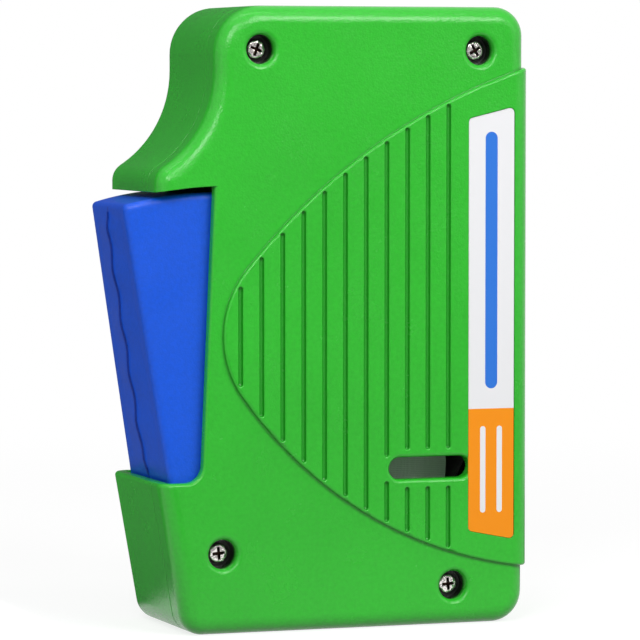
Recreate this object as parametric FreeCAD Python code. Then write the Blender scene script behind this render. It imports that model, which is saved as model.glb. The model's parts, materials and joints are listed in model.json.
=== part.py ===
import FreeCAD, Part
import math
import os

from FreeCAD import Vector

os.makedirs("parts", exist_ok=True)

# Millimetres. X runs to the right of the front view, Y from front to back, Z up.
# The base lies at Z = 0 and the casing's middle plane at Y = 0.

# Casing
height = 118.0
half_depth = 16.0
wall = 2.0
right = 37.0
left_upper = -25.1
beak = -36.7
foot_left = -31.34
foot_slant = math.radians(10.0)
bottom_left_round = 4.5
bottom_right_round = 6.0
top_right_round = 5.5
top_left_round = 9.0
neck_round = 21.4
neck_corner = 94.6
beak_corner = 86.75
beak_round = 3.6
foot_kink_round = 5.0
front_round = 3.2
rear_round = 2.8
parting = -9.0
parting_groove = 0.3
parting_depth = 0.15
lip_overlap = 1.4
lip_gap = 0.1
lip_room = 0.2
weld = 0.5
far = 80.0

# Notch in the left side, where the finger lever stands out
notch_upper = -25.2
notch_lower = -28.15
notch_corner = 3.3
notch_edge = 0.7
ledge = 28.8

# Raised leaf panel: a round tip that runs into two large arcs
leaf_tip = (-4.85, 56.1)
leaf_tip_radius = 19.35
leaf_upper_centre = (72.3, -7.6)
leaf_lower_centre = (46.6, 92.9)
leaf_raise = 0.9
leaf_side_raise = 0.6
leaf_edge = 0.5
groove_first = -20.96
groove_pitch = 4.172
groove_count = 11
groove_half = 0.42
groove_depth = 0.78
groove_shoulder = 0.28
groove_bend = math.radians(75.0)
groove_lift = 0.3
groove_rim = 0.95

# Gauge slot and label in the panel
slot_x = 17.1
slot_z = 30.4
slot_length = 16.5
slot_width = 4.2
slot_rim = 0.8
slot_margin = 0.7
label_corners = [(24.8, 18.0), (34.3, 16.1), (34.3, 99.1), (24.8, 96.8)]
label_round = 1.0
label_recess = 0.35
label_thick = 0.22
label_gap = 0.1

# Screws and their wells: upper left, upper right, lower left, lower right
screw_places = [(-16.5, 109.8), (27.6, 109.7), (-24.1, 15.2), (22.25, 7.6)]
screw_head = 1.95
screw_head_height = 1.4
screw_head_round = 0.6
screw_shank = 1.1
screw_length = 8.5
screw_turns = (20.0, 110.0)
recess_half_length = 1.25
recess_half_width = 0.3
recess_depth = 0.9
shank_gap = 0.2
pilot_gap = 0.05
well_radius = 2.75
well_rim = 1.1
well_seat = -11.6
well_floor = 1.2
boss = 3.95
slim_boss = 3.3

# Finger lever
pivot = (-24.1, 15.2)
lever_radius = 67.9
beak_radius = 69.1
lever_half = 13.6
lever_wall = 2.0
lever_reach = 95.0
lever_back_top = -21.3
lever_back_foot = (-23.0, 32.0)
lever_back_round = 8.0
side_turn = -21.0
side_radius = 72.0
side_end = -45.0
finger_foot = (-33.8, 29.5)
finger_lean = math.radians(9.03)
finger_end = 23.0
lever_round = 1.0
eye_radius = 6.0
eye_inner = 8.0
eye_rim = -10.0
eye_rim_gap = 0.6
running_gap = 0.05
back_opening = (-28.0, 60.0)

# Finger waves: a crowned skin along the finger face, with a seam bead on its crest
crown_low = 0.0
crown_high = 50.4
crown_low_half = 10.8
crown_high_half = 9.1
crown_height = 0.5
crown_sunk = 0.05
crown_fade = 4.0
crown_rows = 49
crown_columns = 9
wave_pitch = 9.8
wave_height = 0.22
seam_height = 0.35
seam_width = 0.5

# Springs: wire radius, coil radius, turns, and the peg under the lever spring's lower leg
spring_wire = 0.45
spring_coil = 4.55
spring_front = 1.0
spring_rear = 4.48
spring_turns = 3
spring_leg = 19.0
spring_leg_spare = 1.0
spring_peg = (-9.5, 8.95)
peg_radius = 1.2
peg_front = -1.0
clutch_wire = 0.24
clutch_coil = 4.95
clutch_front = 9.2
clutch_rear = 10.1
clutch_turns = 1.8
coil_steps = 24
wire_sides = 8

# Gear train from the lever to the take-up reel and the shutter
module = 1.0
pressure = math.radians(25.0)
backlash = 0.12
addendum = 0.9
dedendum = 1.2
flank_points = 4
pinion_teeth = 12
sector_teeth = 155
sector_tooth_count = 9
drive_angle = 65.15
gear_front = 10.45
gear_rear = 13.5
gear_hub = 4.6
gear_hub_front = 9.65
sector_front = 12.2
sector_rear = 13.4
sector_window = (20.0, 71.0)
sector_rib = 4.0
sector_window_round = 1.5
rack_front = 10.6
rack_rear = 11.8
rack_teeth = 8
rack_back = 2.2
rack_end = 0.55

# Tape, reels and rollers
tape_front = -8.5
tape_rear = 7.5
tape_thick = 0.25
tape_gap = 0.1
hub_radius = 8.0
hub_proud = 0.4
hub_rear = 8.0
flange_front = 7.7
flange_rear = 8.8
post_front = -9.3
post_cap_front = -9.4
supply = (2.3, 30.4)
supply_post = 3.5
supply_cap = 5.0
supply_shoulder = 6.5
supply_shoulder_front = 10.0
supply_flange = 22.8
supply_roll = 21.5
supply_holes = (15.5, 3.6)
washer_outer = 6.3
washer_front = 8.95
washer_rear = 9.95
take_up_post = 3.0
take_up_cap = 4.5
take_up_shoulder = 4.2
take_up_shoulder_front = 13.6
take_up_flange = 20.5
take_up_roll = 9.5
take_up_holes = (14.2, 3.2)
reel_holes = 6
clutch_hub_rear = 9.6
ratchet_teeth = 40
ratchet_depth = 0.7
ratchet_undercut = 0.6
pawl_place = (22.5, 113.6)
pawl_pin = 1.2
pawl_eye = 1.9
pawl_front = 7.75
pawl_rear = 8.75
pawl_root = (-1.4, -0.6)
pawl_touch = 71.0
pawl_clear = 0.15
pawl_thick = 0.6
roller_radius = 3.0
roller_chamfer = 0.3
roller_x = 31.0
lower_roller_z = 45.0
upper_roller_z = 75.0
pin_radius = 1.0
pin_overhang = 1.7
pin_fit = 0.02
holder_back = 27.5
holder_face = 31.2
holder_low = 49.0
holder_high = 71.0
cheek_face = 33.4
cheek_low = 42.4
cheek_high = 77.6
cheek_thick = 1.3
cheek_back_round = 1.5
cheek_face_round = 2.3
holder_foot = (51.0, 59.0)
pocket_face = 29.6
pocket_side = 1.2
pocket_end = 2.0
pad_face = 33.95
pad_side = 0.3
pad_end = 0.6
pad_round = 0.8

# Wiping window in the right side
window_low = 46.0
window_high = 74.0
window_rear = 9.8
wipe_middle = -0.5
wipe_spacing = 8.0
wipe_width = 5.0
wipe_low = 51.5
wipe_high = 68.5
wipe_rim = 0.6
plate_back = 36.25
plate_flange = 0.5
plate_lap = 0.85
plate_gap = 0.15
plate_proud = 0.4
plate_round = 1.2
shutter_back = 35.05
shutter_front = 36.05
shutter_half = 8.6
shutter_foot = 50.3
shutter_top = 84.0
shutter_arm = 5.0
shutter_arm_back = 33.3
shutter_arm_face = 34.7
shutter_link = 35.5
shutter_arm_inner = 6.0
channel_back = 34.9
channel_front = 36.2
channel_rear = 9.2
channel_top = 104.5
rebate_back = 36.0
rebate_front = 36.8
rebate_lap = 1.0


def at(x, z, y=0.0):
    return Vector(x, y, z)


def polar(centre, radius, angle):
    """Point at an angle in degrees, turned from +X towards +Z."""
    a = math.radians(angle)
    return at(centre[0] + radius * math.cos(a), centre[1] + radius * math.sin(a))


def line(a, b):
    return Part.LineSegment(a, b).toShape()


def arc(a, b, c):
    return Part.Arc(a, b, c).toShape()


def rounded(corners):
    """Closed front-view outline through corners given as x, z and rounding radius."""
    starts = []
    ends = []
    bends = []
    for i, (x, z, r) in enumerate(corners):
        p = at(x, z)
        before = (at(*corners[i - 1][:2]) - p).normalize()
        after = (at(*corners[(i + 1) % len(corners)][:2]) - p).normalize()
        half = before.getAngle(after) / 2.0
        reach = r / math.tan(half)
        starts.append(p + before * reach)
        ends.append(p + after * reach)
        middle = (before + after).normalize()
        bends.append(p + middle * (r / math.sin(half) - r))
    edges = []
    for i, corner in enumerate(corners):
        if corner[2] > 0:
            edges.append(arc(starts[i], bends[i], ends[i]))
        edges.append(line(ends[i], starts[(i + 1) % len(corners)]))
    return Part.Wire(edges)


def prism(wire, y0, y1):
    face = Part.Face(wire)
    face.translate(Vector(0, y0, 0))
    return face.extrude(Vector(0, y1 - y0, 0))


def cylinder(place, radius, y0, y1):
    """Cylinder along Y whose seam lies at the bottom."""
    solid = Part.makeCylinder(radius, y1 - y0, at(place[0], place[1], y0), Vector(0, 1, 0))
    solid.rotate(at(*place), Vector(0, 1, 0), 180)
    return solid


def tube(place, inner, outer, y0, y1):
    return cylinder(place, outer, y0, y1).cut(cylinder(place, inner, y0 - 1, y1 + 1))


def block(x0, x1, y0, y1, z0, z1):
    return Part.makeBox(x1 - x0, y1 - y0, z1 - z0, Vector(x0, y0, z0))


def edges_in_plane(shape, y):
    """Edges that lie in the plane at depth y."""
    flat = []
    for edge in shape.Edges:
        box = edge.BoundBox
        if abs(box.YMin - y) < 1e-4 and abs(box.YMax - y) < 1e-4:
            flat.append(edge)
    return flat


def save(shape, name):
    shape.exportStep("parts/" + name + ".step")


# Places that follow from the driving sizes
pinion_radius = module * pinion_teeth / 2.0
sector_radius = module * sector_teeth / 2.0
take_up_place = polar(pivot, sector_radius + pinion_radius, drive_angle)
take_up = (take_up_place.x, take_up_place.z)
lower_roller = (roller_x, lower_roller_z)
upper_roller = (roller_x, upper_roller_z)
lever_post = screw_places[2]
leaf_right = right + leaf_side_raise
leaf_front = -half_depth - leaf_raise
leaf_rear = half_depth + leaf_raise
inner_front = -half_depth + wall
inner_rear = half_depth - wall
face_foot = at(*finger_foot)
face_up = Vector(-math.sin(finger_lean), 0, math.cos(finger_lean))
face_out = Vector(-math.cos(finger_lean), 0, -math.sin(finger_lean))


def casing_outline():
    """Front view of the casing, the notch still closed by the line below the beak."""
    kink = (foot_left - beak) / math.tan(foot_slant)
    return rounded([
        (foot_left, 0.0, bottom_left_round),
        (right, 0.0, bottom_right_round),
        (right, height, top_right_round),
        (left_upper, height, top_left_round),
        (left_upper, neck_corner, neck_round),
        (beak, beak_corner, beak_round),
        (beak, kink, foot_kink_round),
    ])


def leaf_outline():
    """Panel outline: the tip circle touches both large arcs from inside."""
    tip = at(*leaf_tip)
    up = at(*leaf_upper_centre)
    low = at(*leaf_lower_centre)
    up_radius = (tip - up).Length + leaf_tip_radius
    low_radius = (tip - low).Length + leaf_tip_radius
    up_joint = tip + (tip - up).normalize() * leaf_tip_radius
    low_joint = tip + (tip - low).normalize() * leaf_tip_radius
    up_end = at(leaf_right, up.z + math.sqrt(up_radius ** 2 - (leaf_right - up.x) ** 2))
    low_end = at(leaf_right, low.z - math.sqrt(low_radius ** 2 - (leaf_right - low.x) ** 2))
    up_middle = up + ((up_joint + up_end) * 0.5 - up).normalize() * up_radius
    low_middle = low + ((low_joint + low_end) * 0.5 - low).normalize() * low_radius
    return Part.Wire([
        arc(up_end, up_middle, up_joint),
        arc(up_joint, tip - Vector(leaf_tip_radius, 0, 0), low_joint),
        arc(low_joint, low_middle, low_end),
        line(low_end, up_end),
    ])


def leaf_panel():
    """Panel on both faces in one band that wraps the right side, all rims rounded."""
    leaf = prism(leaf_outline(), leaf_front, leaf_rear)
    corners = [e for e in leaf.Edges if e.BoundBox.XMin > leaf_right - 1e-4 and e.BoundBox.YLength < 1e-4]
    leaf = leaf.makeFillet(front_round, corners)
    rims = edges_in_plane(leaf, leaf_front) + edges_in_plane(leaf, leaf_rear)
    return leaf.makeFillet(leaf_edge, [e for e in rims if e.BoundBox.XLength > 1])


def notch_prism():
    """Space cut out of the left side: bounded above by an arc about the lever pivot."""
    outline = rounded([
        (-far, ledge, 0.0),
        (notch_lower, ledge, notch_corner),
        (notch_upper, neck_corner, 0.0),
        (-far, neck_corner, 0.0),
    ])
    disc = cylinder(pivot, beak_radius, -far, far)
    return prism(outline, -far, far).common(disc)


def casing_body():
    """Outer form of both shells in one solid, rounded, with the panel and the notch."""
    body = prism(casing_outline(), -half_depth, half_depth)
    body = body.makeFillet(front_round, edges_in_plane(body, -half_depth))
    body = body.makeFillet(rear_round, edges_in_plane(body, half_depth))
    body = body.fuse(leaf_panel()).removeSplitter()
    body = body.cut(notch_prism())
    rims = []
    for edge in edges_in_plane(body, -half_depth) + edges_in_plane(body, half_depth):
        m = edge.CenterOfMass
        if notch_lower - notch_corner < m.x < notch_upper and ledge < m.z < beak_corner - beak_round:
            rims.append(edge)
    return body.makeFillet(notch_edge, rims)


def beak_floor(y0, y1):
    """Curved wall that closes the beak from below."""
    ring = tube(pivot, beak_radius, beak_radius + wall, y0, y1)
    inside = prism(casing_outline().makeOffset2D(-weld), y0, y1)
    reach = block(-far, left_upper + wall, y0, y1, ledge, neck_corner)
    return ring.common(inside).common(reach)


def groove_section(face, inward):
    """Half section of a groove at X = 0: round bottom, upright wall and round shoulder."""
    def point(u, depth):
        return Vector(u, face + inward * depth, 0)

    def on_bottom(angle):
        return point(groove_half * math.sin(angle), groove_depth - groove_half * (1 - math.cos(angle)))

    def on_shoulder(angle):
        reach = groove_shoulder * (1 - math.cos(angle))
        return point(groove_half + reach, groove_shoulder * (1 - math.sin(angle)))

    rim = on_shoulder(groove_bend)
    climb = groove_lift + groove_shoulder * (1 - math.sin(groove_bend))
    outer = point(rim.x + climb * math.tan(groove_bend), -groove_lift)
    return Part.Face(Part.Wire([
        arc(on_bottom(0.0), on_bottom(math.pi / 4), on_bottom(math.pi / 2)),
        line(on_bottom(math.pi / 2), on_shoulder(0.0)),
        arc(on_shoulder(0.0), on_shoulder(groove_bend / 2), rim),
        line(rim, outer),
        line(outer, point(0, -groove_lift)),
        line(point(0, -groove_lift), on_bottom(0.0)),
    ]))


def groove_runs(x, inward):
    """Heights between which a groove is cut, clear of the panel's rim and of the slot."""
    inner = Part.Face(leaf_outline().makeOffset2D(-groove_rim))
    span = line(at(x, -far), at(x, height + far)).common(inner).BoundBox
    keep = slot_width / 2.0 + slot_rim + slot_margin
    aside = max(slot_x - (slot_length - slot_width) / 2.0 - x, 0.0)
    if inward < 0 or aside >= keep:
        return [(span.ZMin, span.ZMax)]
    clear = math.sqrt(keep ** 2 - aside ** 2) + groove_half
    return [(span.ZMin, slot_z - clear), (slot_z + clear, span.ZMax)]


def panel_grooves(face, inward):
    """Tools for the grooves up and down one panel face, each with two round ends."""
    section = groove_section(face, inward)
    tools = []
    for k in range(groove_count):
        x = groove_first + k * groove_pitch
        for z0, z1 in groove_runs(x, inward):
            right_half = section.translated(at(x, z0))
            left_half = right_half.mirror(at(x, z0), Vector(1, 0, 0))
            run = Vector(0, 0, z1 - z0)
            foot = right_half.revolve(at(x, z0), Vector(0, 1, 0), 180)
            head = right_half.translated(run).revolve(at(x, z1), Vector(0, -1, 0), 180)
            tools.append(right_half.extrude(run).fuse([left_half.extrude(run), foot, head]))
    return tools


def stadium(x, z, length, width):
    r = width / 2.0
    run = length / 2.0 - r
    return Part.Wire([
        line(at(x - run, z - r), at(x + run, z - r)),
        arc(at(x + run, z - r), at(x + run + r, z), at(x + run, z + r)),
        line(at(x + run, z + r), at(x - run, z + r)),
        arc(at(x - run, z + r), at(x - run - r, z), at(x - run, z - r)),
    ])


def label_outline(inset):
    wire = rounded([(x, z, label_round) for x, z in label_corners])
    return wire.makeOffset2D(-inset) if inset else wire


def front_shell(body):
    """Shallow front half: panel face with gauge slot, label recess and screw wells."""
    shell = body.common(block(-far, far, -far, parting, -far, height + far))
    outline = casing_outline()
    inside = outline.makeOffset2D(-wall)
    ring = prism(outline.makeOffset2D(wall), parting - parting_groove / 2, parting)
    shell = shell.cut(ring.cut(prism(outline.makeOffset2D(-parting_depth), -far, far)))
    shell = shell.cut(prism(inside, inner_front, far))
    shell = shell.cut(prism(outline.makeOffset2D(-wall / 2), parting - lip_overlap - lip_room, far))
    shell = shell.fuse(beak_floor(inner_front - weld, parting))
    seat = well_seat + well_floor
    for place in screw_places:
        shell = shell.fuse(cylinder(place, boss, inner_front - weld, seat))
    for place, radius in ((supply, supply_cap), (take_up, take_up_cap)):
        shell = shell.fuse(cylinder(place, radius, inner_front - weld, post_cap_front))
    for place in screw_places:
        shell = shell.cut(cylinder(place, well_radius, -far, well_seat))
        shell = shell.cut(cylinder(place, screw_shank + shank_gap, -far, parting))
    shell = shell.cut(prism(stadium(slot_x, slot_z, slot_length, slot_width), -far, parting))
    wells = []
    for edge in edges_in_plane(shell, -half_depth):
        box = edge.BoundBox
        if max(abs(box.XLength - 2 * well_radius), abs(box.ZLength - 2 * well_radius)) < 1e-3:
            wells.append(edge)
    shell = shell.makeFillet(well_rim, wells)
    slot = []
    for edge in edges_in_plane(shell, leaf_front):
        m = edge.CenterOfMass
        if abs(m.z - slot_z) < slot_width and abs(m.x - slot_x) < slot_length:
            slot.append(edge)
    shell = shell.makeFillet(slot_rim, slot)
    shell = shell.cut(prism(label_outline(0), -far, leaf_front + label_recess))
    return shell.cut(panel_grooves(leaf_front, 1))


def rear_shell(body):
    """Deep rear half: tub with reel posts, screw bosses and the wiping window."""
    shell = body.common(block(-far, far, parting, far, -far, height + far))
    outline = casing_outline()
    inside = outline.makeOffset2D(-wall)
    ring = prism(outline.makeOffset2D(wall), parting, parting + parting_groove / 2)
    shell = shell.cut(ring.cut(prism(outline.makeOffset2D(-parting_depth), -far, far)))
    shell = shell.cut(prism(inside, -far, inner_rear))
    lip = prism(outline.makeOffset2D(-wall / 2 - lip_gap), parting - lip_overlap, parting + weld)
    lip = lip.cut(prism(inside, -far, far)).cut(notch_prism())
    shell = shell.fuse(lip.cut(beak_floor(-far, far)))
    shell = shell.fuse(beak_floor(parting, inner_rear + weld))
    seat = well_seat + well_floor
    posts = [
        (supply, supply_post, post_front),
        (supply, supply_shoulder, supply_shoulder_front),
        (take_up, take_up_post, post_front),
        (take_up, take_up_shoulder, take_up_shoulder_front),
        (pawl_place, pawl_pin, flange_front),
        (spring_peg, peg_radius, peg_front),
    ]
    for place in screw_places:
        posts.append((place, boss if place == lever_post else slim_boss, seat))
    for place, radius, front in posts:
        shell = shell.fuse(cylinder(place, radius, front, inner_rear + weld))
    for place in screw_places:
        shell = shell.cut(cylinder(place, screw_shank + pilot_gap, -far, seat + screw_length))
    low = window_low - rebate_lap
    high = window_high + rebate_lap
    shell = shell.cut(block(channel_back, channel_front, -far, channel_rear, low, channel_top))
    shell = shell.cut(block(rebate_back, rebate_front, -far, window_rear + rebate_lap, low, high))
    shell = shell.cut(block(rebate_back, far, -far, window_rear, window_low, window_high))
    return shell.cut(panel_grooves(leaf_rear, -1))


def label():
    """Printed sticker lying in the panel recess."""
    y = leaf_front + label_recess
    return prism(label_outline(label_gap), y - label_thick, y)


def case_screws():
    """Four pan head screws with a cross recess."""
    screws = []
    for place in screw_places:
        top = well_seat - screw_head_height
        head = cylinder(place, screw_head, top, well_seat)
        head = head.makeFillet(screw_head_round, edges_in_plane(head, top))
        screw = head.fuse(cylinder(place, screw_shank, well_seat - weld, well_seat + screw_length))
        for turn in screw_turns:
            bar = block(-recess_half_length, recess_half_length, -far, top + recess_depth,
                        -recess_half_width, recess_half_width)
            bar.rotate(Vector(0, 0, 0), Vector(0, 1, 0), turn)
            bar.translate(at(*place))
            screw = screw.cut(bar)
        screws.append(screw)
    return Part.makeCompound(screws)


def finger_x(z):
    """Lever's finger face in the side view."""
    return finger_foot[0] - (z - finger_foot[1]) * math.tan(finger_lean)


def lever_side_outline():
    """Lever in the front view, without the eye: finger face on the left."""
    return rounded([
        (finger_x(finger_end), finger_end, 0.0),
        (finger_x(lever_reach), lever_reach, 0.0),
        (lever_back_top, lever_reach, 0.0),
        (lever_back_foot[0], lever_back_foot[1], lever_back_round),
        (pivot[0] + eye_radius, pivot[1], 0.0),
        (pivot[0] - eye_radius, pivot[1], 0.0),
    ])


def lever_section(inset):
    """Plan section of the lever: flat sides that curve in towards the finger face."""
    side = [Vector(right, lever_half, 0), Vector(side_turn, lever_half, 0)]
    for x in ((side_turn + side_end) / 2.0, side_end):
        drop = side_radius - math.sqrt(side_radius ** 2 - (side_turn - x) ** 2)
        side.append(Vector(x, lever_half - drop, 0))
    far = [Vector(p.x, -p.y, 0) for p in side]
    wire = Part.Wire([
        line(side[0], side[1]),
        arc(side[1], side[2], side[3]),
        line(side[3], far[3]),
        arc(far[3], far[2], far[1]),
        line(far[1], far[0]),
        line(far[0], side[0]),
    ])
    if inset:
        wire = wire.makeOffset2D(-inset)
    return Part.Face(wire).extrude(Vector(0, 0, height))


def crown_rise(s, t):
    """Height of the wavy crown over the finger face at s along it and t from -1 to 1 across it."""
    near = min(1.0, (s - crown_low) / crown_fade, (crown_high - s) / crown_fade)
    fade = near * near * (3.0 - 2.0 * near)
    wave = wave_height * math.cos(2 * math.pi * s / wave_pitch)
    return fade * (1.0 - t * t) ** 2 * (crown_sunk + crown_height + wave) - crown_sunk


def finger_crown():
    """Crowned skin on the finger face that swells in waves, closed by a flat base sunk in it."""
    grid = []
    for i in range(crown_rows):
        along = i / (crown_rows - 1.0)
        s = crown_low + (crown_high - crown_low) * along
        half = crown_low_half + (crown_high_half - crown_low_half) * along
        row = []
        for k in range(crown_columns):
            t = 2.0 * k / (crown_columns - 1.0) - 1.0
            row.append(face_foot + face_up * s + face_out * crown_rise(s, t) + Vector(0, t * half, 0))
        grid.append(row)
    surface = Part.BSplineSurface()
    surface.interpolate(grid)
    skin = surface.toShape()
    base = Part.Face(Part.makePolygon([grid[0][0], grid[0][-1], grid[-1][-1], grid[-1][0], grid[0][0]]))
    shell = Part.makeShell([skin, base])
    shell.sewShape()
    crown = Part.makeSolid(shell)
    if crown.Volume < 0:
        crown.reverse()
    return crown


def seam_bead():
    """Thin raised moulding seam that follows the waves along the middle of the finger face."""
    crest = []
    for i in range(crown_rows):
        s = crown_low + (crown_high - crown_low) * i / (crown_rows - 1.0)
        crest.append(face_foot + face_up * s + face_out * (crown_rise(s, 0.0) + seam_height))
    curve = Part.BSplineCurve()
    curve.interpolate(crest)
    low = crest[0] - face_out * (2 * seam_height + weld)
    high = crest[-1] - face_out * (2 * seam_height + weld)
    outline = Part.Wire([curve.toShape(), line(crest[-1], high), line(high, low), line(low, crest[0])])
    return prism(outline, -seam_width / 2, seam_width / 2)


def tooth(centre, teeth, middle, root, tip):
    """Edges of one involute tooth about an angle, in the sense of rising angle."""
    pitch = module * teeth / 2.0
    base = pitch * math.cos(pressure)
    half = math.pi / (2 * teeth) - backlash / (2 * pitch) + math.tan(pressure) - pressure
    low = max(root, base)
    sides = []
    for sense in (-1, 1):
        points = []
        for k in range(flank_points):
            r = low + (tip - low) * k / (flank_points - 1.0)
            a = math.acos(min(1.0, base / r))
            points.append(polar(centre, r, middle + sense * math.degrees(half - math.tan(a) + a)))
        sides.append(points)
    rise = Part.BSplineCurve()
    rise.interpolate(sides[0])
    fall = Part.BSplineCurve()
    fall.interpolate(sides[1][::-1])
    edges = [rise.toShape(), line(sides[0][-1], sides[1][-1]), fall.toShape()]
    if root < base - 1e-6:
        turn = math.degrees(half)
        edges.insert(0, line(polar(centre, root, middle - turn), sides[0][0]))
        edges.append(line(sides[1][0], polar(centre, root, middle + turn)))
    return edges


def tooth_row(centre, teeth, first, count, root, tip):
    """Neighbouring teeth joined along the root circle."""
    edges = []
    step = 360.0 / teeth
    last = None
    for k in range(count):
        chain = tooth(centre, teeth, first + k * step, root, tip)
        if last is not None:
            valley = polar(centre, root, first + (k - 0.5) * step)
            edges.append(arc(last, valley, chain[0].firstVertex().Point))
        edges += chain
        last = chain[-1].lastVertex().Point
    return edges, last


def drive_gear():
    """Pinion with a short hub that the wrap spring grips."""
    root = pinion_radius - dedendum
    tip = pinion_radius + addendum
    first = drive_angle + 180.0 + 180.0 / pinion_teeth
    edges, last = tooth_row(take_up, pinion_teeth, first, pinion_teeth, root, tip)
    begin = edges[0].firstVertex().Point
    edges.append(arc(last, polar(take_up, root, first - 180.0 / pinion_teeth), begin))
    gear = prism(Part.Wire(edges), gear_front, gear_rear)
    gear = gear.fuse(cylinder(take_up, gear_hub, gear_hub_front, gear_front + weld))
    return gear.cut(cylinder(take_up, take_up_post + running_gap, -far, far))


def lever_sector():
    """Toothed sector arm that rises from the lever's rear eye to the pinion."""
    root = sector_radius - dedendum
    tip = sector_radius + addendum
    step = 360.0 / sector_teeth
    first = drive_angle - step
    final = first + (sector_tooth_count - 1) * step
    edges, last = tooth_row(pivot, sector_teeth, first, sector_tooth_count, root, tip)
    begin = edges[0].firstVertex().Point
    edges.append(line(last, at(*pivot)))
    edges.append(line(at(*pivot), begin))
    plate = prism(Part.Wire(edges), sector_front, sector_rear)
    a = polar(pivot, sector_window[1], first + sector_rib)
    b = polar(pivot, sector_window[1], final - sector_rib)
    c = polar(pivot, sector_window[0], (first + final) / 2)
    window = rounded([(p.x, p.z, sector_window_round) for p in (a, b, c)])
    return plate.cut(prism(window, -far, far))


def lever():
    """Hollow finger lever with two eyes on the pivot post and the gear sector."""
    side = prism(lever_side_outline(), -far, far).common(cylinder(pivot, lever_radius, -far, far))
    outer = side.common(lever_section(0))
    rims = []
    for edge in outer.Edges:
        m = edge.CenterOfMass
        ends = [v.Point for v in edge.Vertexes]
        on_finger = all(abs(p.x - finger_x(p.z)) < 1e-3 for p in ends)
        on_top = all(abs(math.hypot(p.x - pivot[0], p.z - pivot[1]) - lever_radius) < 1e-3 for p in ends)
        at_back = m.x > pivot[0] and abs(m.y) < lever_wall
        if (on_finger or on_top) and m.z > ledge and not at_back:
            rims.append(edge)
    outer = outer.makeFillet(lever_round, rims)
    outer = outer.fuse(finger_crown()).fuse(seam_bead())
    shift = lever_wall / math.cos(finger_lean)
    room = rounded([
        (finger_x(0.0) + shift, 0.0, 0.0),
        (finger_x(lever_reach) + shift, lever_reach, 0.0),
        (right, lever_reach, 0.0),
        (right, 0.0, 0.0),
    ])
    room = prism(room, -far, far).common(cylinder(pivot, lever_radius - lever_wall, -far, far))
    outer = outer.cut(room.common(lever_section(lever_wall)))
    inner_half = lever_half - lever_wall
    outer = outer.cut(block(back_opening[0], right, -inner_half, inner_half, back_opening[1], lever_reach))
    for y0, y1 in ((-lever_half, -eye_inner), (eye_inner, lever_half)):
        outer = outer.fuse(cylinder(pivot, eye_radius, y0, y1))
    outer = outer.fuse(lever_sector())
    outer = outer.cut(cylinder(pivot, boss + running_gap, eye_rim - weld, far))
    return outer.cut(cylinder(pivot, boss + eye_rim_gap, -far, eye_rim))


def bent_wire(points, radius):
    """Wire bent along points: its section is carried along each run to the next mitre plane."""
    runs = [(b - a).normalize() for a, b in zip(points, points[1:])]
    across = runs[0].cross(Vector(0, 1, 0)).normalize()
    over = runs[0].cross(across)
    ring = []
    for k in range(wire_sides):
        a = 2 * math.pi * k / wire_sides
        ring.append(points[0] + across * (radius * math.cos(a)) + over * (radius * math.sin(a)))
    rings = [ring]
    for k, run in enumerate(runs):
        mitre = run + runs[min(k + 1, len(runs) - 1)]
        ring = [p + run * ((points[k + 1] - p).dot(mitre) / run.dot(mitre)) for p in ring]
        rings.append(ring)
    faces = [Part.Face(Part.makePolygon(end + end[:1])) for end in (rings[0], rings[-1])]
    for a, b in zip(rings, rings[1:]):
        for k in range(wire_sides):
            n = (k + 1) % wire_sides
            faces.append(Part.Face(Part.makePolygon([a[k], a[n], b[n], b[k], a[k]])))
    shell = Part.makeShell(faces)
    shell.sewShape()
    wire = Part.makeSolid(shell)
    if wire.Volume < 0:
        wire.reverse()
    return wire


def coil_points(place, radius, start, end, y0, y1):
    """Points of a coil about an axis along Y, from one angle to another."""
    count = math.ceil(abs(end - start) * coil_steps / 360.0)
    points = []
    for k in range(count + 1):
        p = polar(place, radius, start + (end - start) * k / count)
        points.append(p + Vector(0, y0 + (y1 - y0) * k / count, 0))
    return points


def lever_spring():
    """Torsion spring round the pivot post: one leg on a peg, one up the inside of the lever."""
    end = 180.0 + math.degrees(finger_lean) - 360.0 * spring_turns
    points = coil_points(pivot, spring_coil, 270.0, end, spring_front, spring_rear)
    lower = Vector(spring_peg[0] + spring_leg_spare, spring_front, points[0].z)
    return bent_wire([lower] + points + [points[-1] + face_up * spring_leg], spring_wire)


def clutch_spring():
    """Wrap spring over the neighbouring hubs of pinion and take-up reel."""
    end = 360.0 * clutch_turns
    return bent_wire(coil_points(take_up, clutch_coil, 0.0, end, clutch_front, clutch_rear), clutch_wire)


def reel_windows(place, holes):
    """Round windows in a ring through a reel flange; holes are ring radius and hole radius."""
    tools = []
    for k in range(reel_holes):
        hole = polar(place, holes[0], (k + 0.5) * 360.0 / reel_holes)
        tools.append(cylinder((hole.x, hole.z), holes[1], -far, far))
    return Part.makeCompound(tools)


def take_up_reel():
    """Hub with a rear flange whose rim carries ratchet teeth."""
    points = []
    step = 360.0 / ratchet_teeth
    for k in range(ratchet_teeth):
        points.append(polar(take_up, take_up_flange, k * step))
        points.append(polar(take_up, take_up_flange - ratchet_depth, k * step + ratchet_undercut))
    flange = prism(Part.makePolygon(points + points[:1]), flange_front, flange_rear)
    flange = flange.cut(reel_windows(take_up, take_up_holes))
    reel = flange.fuse(cylinder(take_up, hub_radius, tape_front - hub_proud, hub_rear))
    reel = reel.fuse(cylinder(take_up, gear_hub, hub_rear - weld, clutch_hub_rear))
    return reel.cut(cylinder(take_up, take_up_post + running_gap, -far, far))


def supply_reel():
    """Hub with a wide rear flange behind the fresh tape."""
    flange = cylinder(supply, supply_flange, flange_front, flange_rear)
    flange = flange.cut(reel_windows(supply, supply_holes))
    reel = flange.fuse(cylinder(supply, hub_radius, tape_front - hub_proud, hub_rear))
    return reel.cut(cylinder(supply, supply_post + running_gap, -far, far))


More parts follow.
